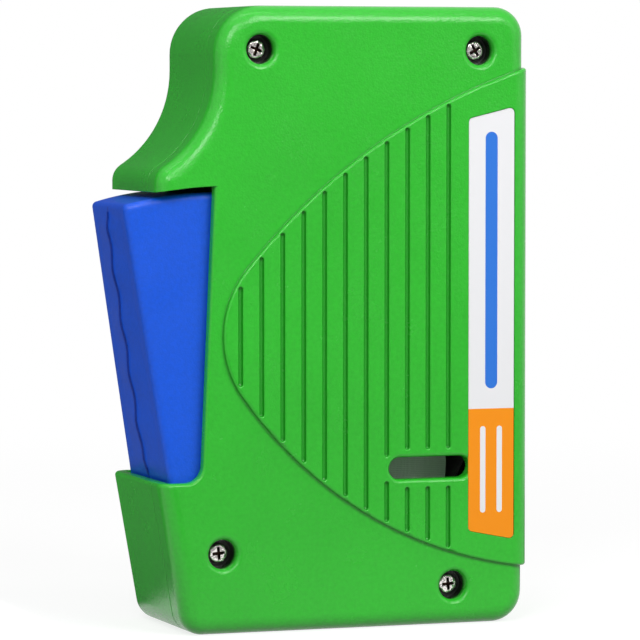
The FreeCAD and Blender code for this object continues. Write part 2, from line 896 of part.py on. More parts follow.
def stop_pawl():
    """Leaf with an eye, its tip lying just clear of the ratchet rim."""
    eye = tube(pawl_place, pawl_pin, pawl_eye, pawl_front, pawl_rear)
    tip = polar(take_up, take_up_flange + pawl_clear, pawl_touch)
    root = at(*pawl_place) + at(*pawl_root)
    along = (tip - root).normalize()
    across = Vector(-along.z, 0, along.x) * pawl_thick
    leaf = prism(Part.makePolygon([root, tip, tip - across, root - across, root]), pawl_front, pawl_rear)
    return eye.fuse(leaf.cut(cylinder(pawl_place, (pawl_pin + pawl_eye) / 2, -far, far)))


def tape_path(grow):
    """Points of the strip on its two rolls and two rollers, shifted outward by grow."""
    lower = (at(*lower_roller), roller_radius + tape_gap)
    upper = (at(*upper_roller), roller_radius + tape_gap)
    fresh = (at(*supply), supply_roll + tape_gap)
    used = (at(*take_up), take_up_roll + tape_gap)
    angles = []
    for small, large, sense in ((lower, fresh, 1), (upper, used, -1)):
        apart = large[0] - small[0]
        heading = math.degrees(math.atan2(apart.z, apart.x))
        lean = math.degrees(math.acos((small[1] - large[1]) / apart.Length))
        angles.append(heading + sense * lean)
    def spot(circle, angle):
        return polar((circle[0].x, circle[0].z), circle[1] + grow, angle)
    low, high = angles
    return [
        spot(fresh, low), spot(lower, low), spot(lower, low / 2), spot(lower, 0),
        spot(upper, 0), spot(upper, high / 2), spot(upper, high), spot(used, high),
    ]


def tape_run():
    """Strip of wiping tape from the fresh roll over both rollers to the used roll."""
    a = tape_path(0.0)
    b = tape_path(tape_thick)
    edges = []
    for p in (a, b):
        edges += [line(p[0], p[1]), arc(p[1], p[2], p[3]), line(p[3], p[4])]
        edges += [arc(p[4], p[5], p[6]), line(p[6], p[7])]
    edges += [line(a[0], b[0]), line(a[7], b[7])]
    return prism(Part.Wire(Part.__sortEdges__(edges)), tape_front, tape_rear)


def roller(place):
    front = tape_front - tape_gap
    rear = tape_rear + tape_gap
    body = tube(place, pin_radius + running_gap, roller_radius, front, rear)
    ends = edges_in_plane(body, front) + edges_in_plane(body, rear)
    return body.makeChamfer(roller_chamfer, [e for e in ends if e.BoundBox.XLength > 2 * roller_radius - 0.1])


def pad_holder():
    """Block behind the tape with two cheeks for the roller pins and a foot."""
    front = tape_front - pin_overhang
    rear = tape_rear + pin_overhang
    body = block(holder_back, holder_face, front, rear, holder_low, holder_high)
    cheek = rounded([
        (holder_back, cheek_low, cheek_back_round),
        (cheek_face, cheek_low, cheek_face_round),
        (cheek_face, cheek_high, cheek_face_round),
        (holder_back, cheek_high, cheek_back_round),
    ])
    for y0 in (front, rear - cheek_thick):
        body = body.fuse(prism(cheek, y0, y0 + cheek_thick))
    body = body.fuse(block(holder_back, holder_face, rear - cheek_thick, inner_rear, *holder_foot))
    for place in (lower_roller, upper_roller):
        body = body.cut(cylinder(place, pin_radius + pin_fit, -far, far))
    pocket = block(-far, pocket_face, tape_front + pocket_side, tape_rear - pocket_side,
                   holder_low + pocket_end, holder_high - pocket_end)
    return body.cut(pocket)


def roller_pins():
    pins = []
    for place in (lower_roller, upper_roller):
        pins.append(cylinder(place, pin_radius, tape_front - pin_overhang, tape_rear + pin_overhang))
    return Part.makeCompound(pins)


def wiping_pad():
    """Soft pad whose face presses the tape outward."""
    pad = block(holder_face, pad_face, tape_front + pad_side, tape_rear - pad_side,
                holder_low + pad_end, holder_high - pad_end)
    rims = [e for e in pad.Edges if e.BoundBox.XMin > pad_face - 1e-3]
    return pad.makeFillet(pad_round, rims)


def window_plate():
    """Plate in the right side with two rounded wiping slots and a holding flange."""
    outer = leaf_right + plate_proud
    front = parting + plate_gap
    plate = block(plate_back, outer, front, window_rear - plate_gap,
                  window_low + plate_gap, window_high - plate_gap)
    plate = plate.makeFillet(plate_round, [e for e in plate.Edges if e.BoundBox.XLength > 1])
    plate = plate.makeFillet(plate_proud, [e for e in plate.Edges if e.BoundBox.XMin > outer - 1e-3])
    plate = plate.fuse(block(plate_back, plate_back + plate_flange, front, window_rear + plate_lap,
                             window_low - plate_lap, window_high + plate_lap))
    r = wipe_width / 2.0
    for side in (-0.5, 0.5):
        y = wipe_middle + side * wipe_spacing
        slot = block(0, far, y - r, y + r, wipe_low + r, wipe_high - r)
        for z in (wipe_low + r, wipe_high - r):
            slot = slot.fuse(Part.makeCylinder(r, far, Vector(0, y, z), Vector(1, 0, 0)))
        plate = plate.cut(slot.removeSplitter())
    rims = []
    for edge in plate.Edges:
        m = edge.CenterOfMass
        if edge.BoundBox.XMin > outer - 1e-3 and wipe_low - 1e-3 < m.z < wipe_high + 1e-3:
            if abs(m.y - wipe_middle) < wipe_spacing / 2 + r + 1e-3:
                rims.append(edge)
    return plate.makeFillet(wipe_rim, rims)


def shutter_rack():
    """Straight toothed bar to the right of the pinion, one of its gaps on the pinion's tooth."""
    pitch_x = take_up[0] + pinion_radius
    circular = math.pi * module
    step = 360.0 / pinion_teeth
    meshing = (drive_angle + 180.0 + step / 2) % step
    gap_z = take_up[1] + pinion_radius * math.radians(meshing - step)
    half = circular / 4 - backlash / 2
    slope = math.tan(pressure)
    top = gap_z + (0.5 + rack_end) * circular
    foot = gap_z + (1.5 - rack_teeth - rack_end) * circular
    points = [at(pitch_x + dedendum + rack_back, top), at(pitch_x + dedendum, top)]
    for k in range(rack_teeth):
        z = gap_z + (0.5 - k) * circular
        for x, spread in ((dedendum, 1), (-addendum, 1), (-addendum, -1), (dedendum, -1)):
            points.append(at(pitch_x + x, z + spread * (half + x * slope)))
    points += [at(pitch_x + dedendum, foot), at(pitch_x + dedendum + rack_back, foot)]
    return prism(Part.makePolygon(points + points[:1]), rack_front, rack_rear)


def shutter():
    """Cover behind the slots with an arm to a rack that the pinion lifts."""
    arm_low = shutter_top - shutter_arm
    body = block(shutter_back, shutter_front, -shutter_half, shutter_half, shutter_foot, shutter_top)
    rack_side = take_up[0] + pinion_radius + dedendum + weld
    arm = [
        (shutter_arm_back, shutter_link, shutter_arm_inner, shutter_half),
        (shutter_arm_back, shutter_arm_face, shutter_arm_inner, rack_rear),
        (rack_side, shutter_arm_face, rack_front, rack_rear),
    ]
    for x0, x1, y0, y1 in arm:
        body = body.fuse(block(x0, x1, y0, y1, arm_low, shutter_top))
    return body.fuse(shutter_rack())


casing = casing_body()
save(front_shell(casing).removeSplitter(), "front_shell")
save(rear_shell(casing).removeSplitter(), "rear_shell")
save(case_screws(), "case_screws")
save(label(), "label")
save(lever(), "lever")
save(lever_spring(), "lever_spring")
save(drive_gear(), "drive_gear")
save(clutch_spring(), "clutch_spring")
save(take_up_reel(), "take_up_reel")
save(tube(take_up, hub_radius, take_up_roll, tape_front, tape_rear), "take_up_tape")
save(stop_pawl(), "stop_pawl")
save(supply_reel(), "supply_reel")
save(tube(supply, hub_radius, supply_roll, tape_front, tape_rear), "supply_tape")
save(tube(supply, supply_post + tape_gap, washer_outer, washer_front, washer_rear), "drag_washer")
save(tape_run(), "tape_run")
save(roller(lower_roller), "lower_roller")
save(roller(upper_roller), "upper_roller")
save(roller_pins(), "roller_pins")
save(pad_holder(), "pad_holder")
save(wiping_pad(), "wiping_pad")
save(window_plate(), "window_plate")
save(shutter(), "shutter")
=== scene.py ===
# %% [markdown]
# A hand-held cassette that wipes the end faces of fibre connectors. Two green shells are screwed
# together round two reels of cloth tape, and a blue finger lever on the left winds the tape on past
# a slotted window on the right. The moulded pieces arrive as an exact frame, in metres, so this
# lesson gives them their finishes and makes the pieces that are wound, wired or threaded: the
# screws, the springs and the rolls of tape.

# %% Load the frame
import json
import math

import bmesh
import bpy
from mathutils import Matrix, Vector


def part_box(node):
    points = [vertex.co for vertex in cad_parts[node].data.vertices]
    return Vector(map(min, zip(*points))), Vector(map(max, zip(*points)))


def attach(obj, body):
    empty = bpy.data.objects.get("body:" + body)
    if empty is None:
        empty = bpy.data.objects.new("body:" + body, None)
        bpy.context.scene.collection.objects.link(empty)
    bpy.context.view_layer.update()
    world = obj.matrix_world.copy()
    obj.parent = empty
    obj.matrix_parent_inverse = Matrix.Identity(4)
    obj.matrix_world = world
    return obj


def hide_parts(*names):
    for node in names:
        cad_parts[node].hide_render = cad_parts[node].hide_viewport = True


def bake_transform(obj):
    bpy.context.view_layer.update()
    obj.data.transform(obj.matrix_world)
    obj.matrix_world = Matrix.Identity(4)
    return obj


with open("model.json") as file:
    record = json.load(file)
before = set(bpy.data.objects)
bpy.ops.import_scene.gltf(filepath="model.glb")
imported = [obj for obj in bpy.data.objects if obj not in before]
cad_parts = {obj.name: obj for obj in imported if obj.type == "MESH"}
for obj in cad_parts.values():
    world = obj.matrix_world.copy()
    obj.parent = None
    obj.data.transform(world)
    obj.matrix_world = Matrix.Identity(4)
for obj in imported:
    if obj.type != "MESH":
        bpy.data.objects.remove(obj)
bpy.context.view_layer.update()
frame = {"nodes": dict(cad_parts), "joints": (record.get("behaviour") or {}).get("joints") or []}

mm = 0.001
nodes = frame["nodes"]
axle = {joint["name"]: Vector(joint["pos_m"]) for joint in frame["joints"] if joint.get("pos_m")}

# %% [markdown]
# The camera stands to the left of the ribbed face and a little above its middle, far enough off
# that the upright edges stay nearly parallel, as a long lens sees a small product. It could be
# aimed by eye, but a place worked out from a turn, a rise and a distance is easier to correct, so
# those three values and the point it looks at are written down instead of a matrix.

# %% Camera
look_at = Vector((0.819, 0.0, 57.99)) * mm
camera_distance = 800 * mm
camera_turn = math.radians(-19.80)
camera_rise = math.radians(3.19)
camera_lens = 233.86
film_width = 36.0
nearest_seen = 10 * mm

forward = Vector((
    -math.sin(camera_turn) * math.cos(camera_rise),
    math.cos(camera_turn) * math.cos(camera_rise),
    -math.sin(camera_rise),
))
camera = bpy.data.objects.new("camera", bpy.data.cameras.new("camera"))
camera.location = look_at - forward * camera_distance
camera.rotation_euler = forward.to_track_quat("-Z", "Y").to_euler()
camera.data.lens = camera_lens
camera.data.sensor_width = film_width
camera.data.clip_start = nearest_seen
bpy.context.scene.collection.objects.link(camera)
bpy.context.scene.camera = camera
bpy.context.scene.view_settings.view_transform = "Standard"
print("camera at", [round(v, 3) for v in camera.location])

# %% [markdown]
# Every finish below is a small tree of nodes, and so is every wound piece. Writing each node as
# three or four lines would bury the idea, so one helper adds a node, sets what is a plain value and
# links what is the output of another node. The others name what is asked for most: a place on the
# piece, its three axes, and a step of arithmetic on numbers or on vectors.


# %% Node helpers
def give(tree, node, inputs):
    """Fills a node's inputs: one given as a socket is linked, any other value is set."""
    for name, value in inputs.items():
        if isinstance(value, bpy.types.NodeSocket):
            tree.links.new(value, node.inputs[name])
        else:
            node.inputs[name].default_value = value
    return node


def add(tree, kind, inputs=None, **settings):
    """New node with its settings and inputs."""
    node = tree.nodes.new(kind)
    for name, value in settings.items():
        setattr(node, name, value)
    return give(tree, node, inputs or {})


def calc(tree, operation, *values):
    """Result of one step of arithmetic on numbers or sockets."""
    return add(tree, "ShaderNodeMath", dict(enumerate(values)), operation=operation).outputs[0]


def vector_calc(tree, operation, *values):
    """Outputs of one step of arithmetic on vectors: a Value or a Vector."""
    return add(tree, "ShaderNodeVectorMath", dict(enumerate(values)), operation=operation).outputs


def axes(tree, vector):
    """The X, Y and Z of a vector."""
    return add(tree, "ShaderNodeSeparateXYZ", {"Vector": vector}).outputs


def place_on(tree):
    """Place on the piece in metres, in the frame's own axes."""
    return add(tree, "ShaderNodeTexCoord").outputs["Object"]


print("helpers ready")

# %% [markdown]
# The case stands on plain white, with white air behind it. Air bright enough to look white would
# light the case from all round and wash out the green, so it is white only where it is seen, by the
# camera or in a reflection, and gives the case a weaker, even fill.

# %% Air
air_light = 0.36


def seen_directly(tree):
    """1 for what the camera sees, also in a reflection or through something clear."""
    path = add(tree, "ShaderNodeLightPath").outputs
    mirrored = calc(tree, "MAXIMUM", path["Is Glossy Ray"], path["Is Transmission Ray"])
    return calc(tree, "MAXIMUM", path["Is Camera Ray"], mirrored)


def air_strength(tree):
    """White where it is seen, and the fill light for all else."""
    return calc(tree, "MAXIMUM", seen_directly(tree), air_light)


world = bpy.data.worlds.new("studio_air")
world.use_nodes = True
bpy.context.scene.world = world
sky = world.node_tree
give(sky, sky.nodes["Background"], {"Color": (1, 1, 1, 1), "Strength": air_strength(sky)})
print("air with a fill light of", air_light)

# %% [markdown]
# The rest of the studio is flat boards: the floor, and the cards that the case mirrors.


# %% Studio boards
def bare_paint(name):
    """Material with no shader yet, its tree and the socket that takes one."""
    paint = bpy.data.materials.new(name)
    paint.use_nodes = True
    tree = paint.node_tree
    tree.nodes.remove(tree.nodes["Principled BSDF"])
    return paint, tree, tree.nodes["Material Output"].inputs["Surface"]


def board(name, middle, across, up, paint):
    """Flat rectangle in the studio, given by its middle and two half sides."""
    middle, across, up = Vector(middle), Vector(across), Vector(up)
    mesh = bpy.data.meshes.new(name)
    corners = [middle - across - up, middle + across - up, middle + across + up, middle - across + up]
    mesh.from_pydata(corners, [], [(0, 1, 2, 3)])
    mesh.materials.append(paint)
    sheet = bpy.data.objects.new(name, mesh)
    bpy.context.scene.collection.objects.link(sheet)
    return sheet


print("boards ready")

# %% [markdown]
# A floor lit to full white would need too much light as well, so it glows as the air does. Close to
# the case it takes part of its brightness from the lamps, and so it keeps the soft shadow; further
# out the glow alone makes it white, and no horizon shows.

# %% Floor
floor_half = 3.0
floor_grey = (0.28, 0.28, 0.28, 1)
near_glow = 0.80
near_edge = 0.16
far_edge = 0.45

floor_paint, tree, surface = bare_paint("floor_paint")
reach = vector_calc(tree, "LENGTH", place_on(tree))["Value"]
ring = {"Value": reach, "From Min": near_edge, "From Max": far_edge}
away = add(tree, "ShaderNodeMapRange", ring, interpolation_type="SMOOTHSTEP").outputs["Result"]
matt = add(tree, "ShaderNodeBsdfDiffuse", {"Color": floor_grey}).outputs[0]
near_strength = calc(tree, "MULTIPLY", seen_directly(tree), near_glow)
near = add(tree, "ShaderNodeEmission", {"Strength": near_strength}).outputs[0]
lit = add(tree, "ShaderNodeAddShader", {0: matt, 1: near}).outputs[0]
far = add(tree, "ShaderNodeEmission", {"Strength": air_strength(tree)}).outputs[0]
ground = add(tree, "ShaderNodeMixShader", {0: away, 1: lit, 2: far}).outputs[0]
tree.links.new(ground, surface)
board("floor", (0, 0, 0), (floor_half, 0, 0), (0, floor_half, 0), floor_paint)
print("floor", 2 * floor_half, "m square, shadow kept to", far_edge, "m")

# %% [markdown]
# Two soft boxes hang above the camera, one to each side of it. The right one mirrors in the lower
# lips of the wells and of the slot, the left one in the panel's left edge, so a bright line runs
# along all of these. A weak box further right keeps the label clear. Two narrow strips, overhead and
# on the left, add little light but draw thin lines along the rims and rounded corners. One large
# lamp would light the case as well, but glossy plastic shows the shape of its lamps, so each line
# has a lamp of its own.

# %% Soft boxes
# Each lamp has a place, a width and a height in metres, and a power in watts.
lamps = {
    "left_box": ((-0.28, -0.48, 0.42), 0.18, 0.22, 1.45),
    "right_box": ((0.18, -0.53, 0.43), 0.26, 0.20, 1.75),
    "side_box": ((0.80, -0.80, 0.35), 0.60, 0.60, 1.2),
    "left_strip": ((-0.80, -0.30, 0.25), 0.10, 0.70, 0.25),
    "top_strip": ((-0.08, -0.15, 0.75), 0.80, 0.03, 0.9),
}
for name, (spot, width, height, watts) in lamps.items():
    data = bpy.data.lights.new(name, "AREA")
    data.shape = "RECTANGLE"
    data.size = width
    data.size_y = height
    data.energy = watts
    lamp = bpy.data.objects.new(name, data)
    lamp.location = spot
    lamp.rotation_euler = (look_at - Vector(spot)).to_track_quat("-Z", "Y").to_euler()
    bpy.context.scene.collection.objects.link(lamp)
    print(name, watts, "W")

# %% [markdown]
# White all round would leave a pale film on every glossy side, so cards and mats lie where the case
# mirrors the room: slatted ones before the front, which the plastic blurs to a faint film and the
# screw heads break into bright and dark, and nearly black ones beside the left wall. They show in
# reflections only and dim no light. A white card on the floor does the opposite: it lights the foot
# of the left wall and shows nowhere.

# %% Cards and mats
slat_pitch = 0.22


def card_paint(name, tone, slatted=False):
    """Cloth that gives off one tone, or bright and dark slats side by side along X."""
    paint, tree, surface = bare_paint(name)
    cloth = add(tree, "ShaderNodeEmission", {"Color": (*tone, 1), "Strength": 1.0})
    if slatted:
        along = calc(tree, "MULTIPLY", axes(tree, place_on(tree))["X"], 2 * math.pi / slat_pitch)
        bright = calc(tree, "GREATER_THAN", calc(tree, "SINE", along), 0.0)
        give(tree, cloth, {"Strength": bright})
    tree.links.new(cloth.outputs[0], surface)
    return paint


slats = card_paint("slatted_card", (0.86, 0.86, 0.86), slatted=True)
dark = card_paint("dark_card", (0.12, 0.11, 0.13))
white = card_paint("white_card", (0.95, 0.95, 0.90))
# Each card has a middle, two half sides and a paint.
cards = {
    "front_card": ((0.20, -1.05, 0.10), (1.00, 0.20, 0.0), (0.0, 0.0, 0.60), slats),
    "front_mat": ((0.30, -0.55, 0.0005), (0.60, 0.0, 0.0), (0.0, 0.45, 0.0), slats),
    "left_card": ((-0.42, 0.60, 0.10), (0.60, -0.02, 0.0), (0.0, 0.0, 0.70), dark),
    "back_mat": ((-0.25, 0.30, 0.0005), (0.45, 0.0, 0.0), (0.0, 0.28, 0.0), dark),
    "bounce_card": ((-0.16, 0.05, 0.0008), (0.11, 0.0, 0.0), (0.0, 0.065, 0.0), white),
}
for name, (middle, across, up, paint) in cards.items():
    card = board(name, middle, across, up, paint)
    card.visible_camera = False
    card.visible_diffuse = paint == white
    card.visible_glossy = paint != white
    card.visible_shadow = False
    card.visible_transmission = False
    print(name, "at", middle)

# %% [markdown]
# No real surface is quite even. Painted pictures could show that, but they blur close up and need
# unwrapping, so every finish here starts from noise whose patches have a real size in metres. The
# noise is then mapped onto a range, turned into shades of one colour, or pressed into the surface.


# %% Noise and shades
def new_finish(name):
    """Empty material, its tree, its shader and the place on the piece."""
    material = bpy.data.materials.new(name)
    material.use_nodes = True
    tree = material.node_tree
    return material, tree, tree.nodes["Principled BSDF"], place_on(tree)


def noise(tree, place, size, detail=2.0, roughness=0.5):
    """Value noise whose patches are about one size across."""
    settings = {"Vector": place, "Scale": 1.0 / size, "Detail": detail, "Roughness": roughness}
    return add(tree, "ShaderNodeTexNoise", settings).outputs["Fac"]


def spread(tree, value, low, high, start=0.3, stop=0.7):
    """Maps a value from its own range onto the range from low to high."""
    settings = {"Value": value, "From Min": start, "From Max": stop, "To Min": low, "To Max": high}
    return add(tree, "ShaderNodeMapRange", settings).outputs["Result"]


def shades(tree, value, colour, factors):
    """Ramp over a few darker or lighter shades of one colour, evenly spaced."""
    ramp = add(tree, "ShaderNodeValToRGB", {"Fac": value})
    stops = ramp.color_ramp.elements
    while len(stops) < len(factors):
        stops.new(0.5)
    for k, factor in enumerate(factors):
        stops[k].position = k / (len(factors) - 1)
        stops[k].color = (*(c * factor for c in colour), 1)
    return ramp.outputs["Color"]


def pressed_in(tree, height, depth, under=None):
    """Normal bent by a height of some depth, over another bent normal if one is given."""
    settings = {"Height": height, "Strength": 1.0, "Distance": depth}
    if under is not None:
        settings["Normal"] = under
    return add(tree, "ShaderNodeBump", settings).outputs["Normal"]


print("noise and shades ready")

# %% [markdown]
# Most of the case is injection moulded. A spark-eroded mould leaves a fine, even grain that breaks
# up the shine, the melt leaves slow drifts of tone, and hands leave faint smooth patches and wear
# the sharp edges soft. One function builds that plastic, so that the green, the blue, the white and
# the black mouldings differ only in colour, grain, gloss and edges. The soft edges could be cut into
# the mesh, but the frame's shapes stay as they are, so the shader bends the normals there.

# %% Moulded plastic
drift_size = 30 * mm
hand_size = 9 * mm
hand_gloss = 0.05
plastic_ior = 1.49
edge_tests = 8


def moulded(name, colour, grain, depth, gloss, shine=0.5, edge=None):
    """Plastic with a drift of tone, an eroded grain, patches polished by hands and worn edges."""
    material, tree, shader, place = new_finish(name)
    drift = calc(tree, "MULTIPLY", noise(tree, place, drift_size, 3.0), 0.5)
    fleck = calc(tree, "MULTIPLY", noise(tree, place, grain * 2.0), 0.5)
    tone = spread(tree, calc(tree, "ADD", drift, fleck), 0.0, 1.0)
    handled = noise(tree, place, hand_size, 5.0, 0.6)
    pits = add(tree, "ShaderNodeTexVoronoi", {"Vector": place, "Scale": 1.0 / grain}).outputs["Distance"]
    eroded = calc(tree, "ADD", pits, noise(tree, place, grain * 0.6, 3.0, 0.65))
    worn = None
    if edge:
        worn = add(tree, "ShaderNodeBevel", {"Radius": edge}, samples=edge_tests).outputs["Normal"]
    give(tree, shader, {
        "Base Color": shades(tree, tone, colour, (0.90, 1.0, 1.10)),
        "Roughness": spread(tree, handled, gloss - hand_gloss, gloss + hand_gloss),
        "Normal": pressed_in(tree, eroded, depth, worn),
        "IOR": plastic_ior,
        "Specular IOR Level": shine,
    })
    return material


green = moulded("green_moulding", (0.024, 0.50, 0.022), 0.42 * mm, 0.030 * mm, 0.24, edge=0.25 * mm)
blue = moulded("blue_moulding", (0.004, 0.100, 0.76), 0.36 * mm, 0.018 * mm, 0.34, 0.35, edge=1.3 * mm)
natural = moulded("white_moulding", (0.80, 0.79, 0.74), 0.25 * mm, 0.006 * mm, 0.38)
black = moulded("black_moulding", (0.022, 0.022, 0.024), 0.25 * mm, 0.008 * mm, 0.45)
print("mouldings:", green.name, blue.name, natural.name, black.name)

# %% [markdown]
# The grooves and the foot of the raised panel's edge are painted darker: painted shade where little
# light reaches. Each place could be listed, but a crevice is just what an occlusion test finds, so a
# short-range one on the shell's own faces darkens the green there.

# %% Painted shade in the crevices
crevice_reach = 1.0 * mm
crevice_tests = 12
crevice_shut, crevice_open = 0.50, 0.86
crevice_shade = (0.014, 0.31, 0.016, 1)
mix_under, mix_over, mix_result = 6, 7, 2


def paint_over(tree, under, over, where):
    """Second colour laid over the first wherever the mask is 1."""
    colours = {"Factor": where, mix_under: under, mix_over: over}
    return add(tree, "ShaderNodeMix", colours, data_type="RGBA").outputs[mix_result]


def overcoat(material, colour, where):
    """Colour laid over a whole finish wherever the mask is 1."""
    tree = material.node_tree
    shader = tree.nodes["Principled BSDF"]
    under = shader.inputs["Base Color"].links[0].from_socket
    give(tree, shader, {"Base Color": paint_over(tree, under, colour, where)})


# Painted shade: the green goes darker wherever the occlusion test finds walls close by.
tree = green.node_tree
near_walls = {"Distance": crevice_reach}
walls = add(tree, "ShaderNodeAmbientOcclusion", near_walls, samples=crevice_tests, only_local=True)
hidden = spread(tree, walls.outputs["AO"], 1.0, 0.0, crevice_shut, crevice_open)
overcoat(green, crevice_shade, hidden)
print("shade within", crevice_reach / mm, "mm of a wall")

# %% [markdown]
# Four screws hold the shells together, each at the foot of a round well. The drill-deep wells are
# painted near black below their smooth lips, as painted shade, since light from a soft box alone
# would leave them green. So the green plastic goes dark by its place: near a screw's axis, further in
# than the lip, and not past the seam between the shells.

# %% Painted shade in the wells
screw_places = [(-16.5, 109.8), (27.6, 109.7), (-24.1, 15.2), (22.25, 7.6)]
well_reach = 2.95 * mm
lip_foot = -15.00 * mm
shade_full_from = -13.40 * mm
shell_seam = -9.0 * mm
well_shade = (0.004, 0.011, 0.004, 1)


def about_screws(tree, reach, first, last):
    """1 near a screw's axis in the front shell, from nothing at the first depth to full at the last."""
    place = place_on(tree)
    flat = vector_calc(tree, "MULTIPLY", place, (1, 0, 1))["Vector"]
    inside = 0.0
    for x, z in screw_places:
        away = vector_calc(tree, "DISTANCE", flat, (x * mm, 0, z * mm))["Value"]
        inside = calc(tree, "MAXIMUM", inside, calc(tree, "LESS_THAN", away, reach))
    depth = axes(tree, place)["Y"]
    inside = calc(tree, "MULTIPLY", inside, calc(tree, "LESS_THAN", depth, shell_seam))
    return calc(tree, "MULTIPLY", inside, spread(tree, depth, 0.0, 1.0, first, last))


# Painted shade: the green goes near black inside each well, deeper than the lip.
overcoat(green, well_shade, about_screws(green.node_tree, well_reach, lip_foot, shade_full_from))
print("dark wells:", len(screw_places))

# %% [markdown]
# A wavy bead runs down the middle of the finger face, where the two halves of its mould met, and the
# line is painted darker than the face: painted shade along the bead. A strip of faces with a second
# finish could show it, but the frame's mesh has no such strip, so the blue goes darker by its place:
# close to the lever's middle plane, on the face's outer side only.

# %% Painted shade on the seam
finger_foot = Vector((-33.8, 0, 29.5)) * mm
finger_lean = math.radians(9.03)
face_out = Vector((-math.cos(finger_lean), 0, -math.sin(finger_lean)))
seam_half = 0.30 * mm
seam_foot = -0.10 * mm
seam_shade = (0.002, 0.060, 0.56, 1)

tree = blue.node_tree
place = place_on(tree)
from_foot = vector_calc(tree, "SUBTRACT", place, finger_foot)["Vector"]
proud = vector_calc(tree, "DOT_PRODUCT", from_foot, face_out)["Value"]
aside = calc(tree, "ABSOLUTE", axes(tree, place)["Y"])
in_middle = calc(tree, "LESS_THAN", aside, seam_half)
on_face = calc(tree, "GREATER_THAN", proud, seam_foot)
# Painted shade: the blue goes darker along the seam line.
overcoat(blue, seam_shade, calc(tree, "MULTIPLY", in_middle, on_face))
print("seam", 2 * seam_half / mm, "mm wide")

# %% [markdown]
# The long sticker on the ribbed face is glossy printed film: a white field above with one blue bar,
# and an orange field below with two white bars. The fields could be separate slivers of mesh, but ink
# has no thickness to see, so the material draws them from the place on the piece.

# %% Fields and bars
label_low, label_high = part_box("label")
label_middle = (label_low.x + label_high.x) / 2
field_border = 41.4 * mm
film_white = (0.875, 0.875, 0.895, 1)
film_orange = (1.0, 0.31, 0.0, 1)
ink_blue = (0.025, 0.19, 0.74, 1)
blue_bar_foot, blue_bar_top, blue_bar_half = 46.5 * mm, 93.0 * mm, 1.25 * mm
white_bar_foot, white_bar_top, white_bar_half = 22.0 * mm, 37.5 * mm, 0.55 * mm
white_bar_offset = 1.7 * mm


def ink_bar(tree, across, along, middle, foot, top, half_width):
    """1 inside an upright bar with round ends."""
    nearest = add(tree, "ShaderNodeClamp", {"Value": along, "Min": foot, "Max": top}).outputs[0]
    aside = calc(tree, "SUBTRACT", across, middle)
    beyond = calc(tree, "SUBTRACT", along, nearest)
    squares = [calc(tree, "MULTIPLY", side, side) for side in (aside, beyond)]
    return calc(tree, "LESS_THAN", calc(tree, "SQRT", calc(tree, "ADD", *squares)), half_width)


print("fields parted at", field_border / mm, "mm")

# %% [markdown]
# The film itself is smooth and shiny, but pressed on by hand it follows the plastic in faint ripples,
# and wiping has clouded its gloss. A clear coat could give the shine, but the ink lies under the same
# film everywhere, so one shader carries fields, ripples and cloud.

# %% Printed film
film_shine = 0.35
cloud_size = 4 * mm
peel_size, peel_depth = 1.2 * mm, 0.012 * mm

film, tree, shader, place = new_finish("printed_film")
split = axes(tree, place)
across, along = split["X"], split["Z"]
ink = paint_over(tree, film_white, film_orange, calc(tree, "LESS_THAN", along, field_border))
bar = ink_bar(tree, across, along, label_middle, blue_bar_foot, blue_bar_top, blue_bar_half)
ink = paint_over(tree, ink, ink_blue, bar)
for offset in (-white_bar_offset, white_bar_offset):
    middle = label_middle + offset
    bar = ink_bar(tree, across, along, middle, white_bar_foot, white_bar_top, white_bar_half)
    ink = paint_over(tree, ink, film_white, bar)
give(tree, shader, {
    "Base Color": ink,
    "Roughness": spread(tree, noise(tree, place, cloud_size, 4.0), 0.30, 0.34),
    "Normal": pressed_in(tree, noise(tree, place, peel_size), peel_depth),
    "Specular IOR Level": film_shine,
})
print("film with", len(tree.nodes), "nodes")

# %% [markdown]
# The screws, springs and pins are steel, the visible ones nickel plated. Drawn wire and rolled heads
# carry fine lines, so the noise is stretched, and the grey drifts a little where the plating is thin.
# A driver has dented the screw heads, and each dent mirrors another part of the room; the crosses are
# painted dark brown, as painted shade in their depth.

# %% Metal
dent_size = 0.8 * mm
line_depth = 0.004 * mm
recess_reach = 1.45 * mm
recess_mouth, recess_deep = -12.88 * mm, -12.70 * mm
recess_shade = (0.035, 0.020, 0.014, 1)


def metal(name, colour, line_size, line_stretch, gloss, dent):
    """Plated steel whose fine lines run round the Y axis, over dents of some depth."""
    material, tree, shader, place = new_finish(name)
    stretched = {"Vector": place, "Scale": (1.0, line_stretch, 1.0)}
    lines = noise(tree, add(tree, "ShaderNodeMapping", stretched).outputs[0], line_size, 4.0, 0.6)
    dented = pressed_in(tree, noise(tree, place, dent_size, 1.0), dent)
    give(tree, shader, {
        "Base Color": shades(tree, spread(tree, lines, 0.0, 1.0), colour, (0.86, 1.0)),
        "Roughness": spread(tree, lines, gloss - 0.05, gloss + 0.07),
        "Normal": pressed_in(tree, lines, line_depth, dented),
        "Metallic": 1.0,
    })
    return material


nickel = metal("nickel_plate", (0.90, 0.87, 0.83), 0.5 * mm, 6.0, 0.15, 0.22 * mm)
spring_steel = metal("spring_steel", (0.46, 0.455, 0.45), 0.4 * mm, 4.0, 0.30, 0.01 * mm)
# Painted shade: the nickel goes dark brown inside the crosses.
overcoat(nickel, recess_shade, about_screws(nickel.node_tree, recess_reach, recess_mouth, recess_deep))
print("metals:", nickel.name, spring_steel.name)

# %% [markdown]
# The tape is a fine woven cloth. Its threads are far too many to model, so two crossed waves raise
# them as bump and paint shade into the gaps between them. Where the tape is seen on edge, as on the
# rolls, the turns themselves are modelled. The straight strip between the rolls has cloth on the side
# that the window shows, and all its other faces are painted near black: painted shade for the dark
# inside of the case.

# %% Cloth tape
tape_green = (0.78, 0.95, 0.80)
thread_pitch = 0.36 * mm
thread_depth = 0.03 * mm
fuzz_size, fuzz_share = 0.2 * mm, 0.6
strip_shade = (0.05, 0.05, 0.05, 1)


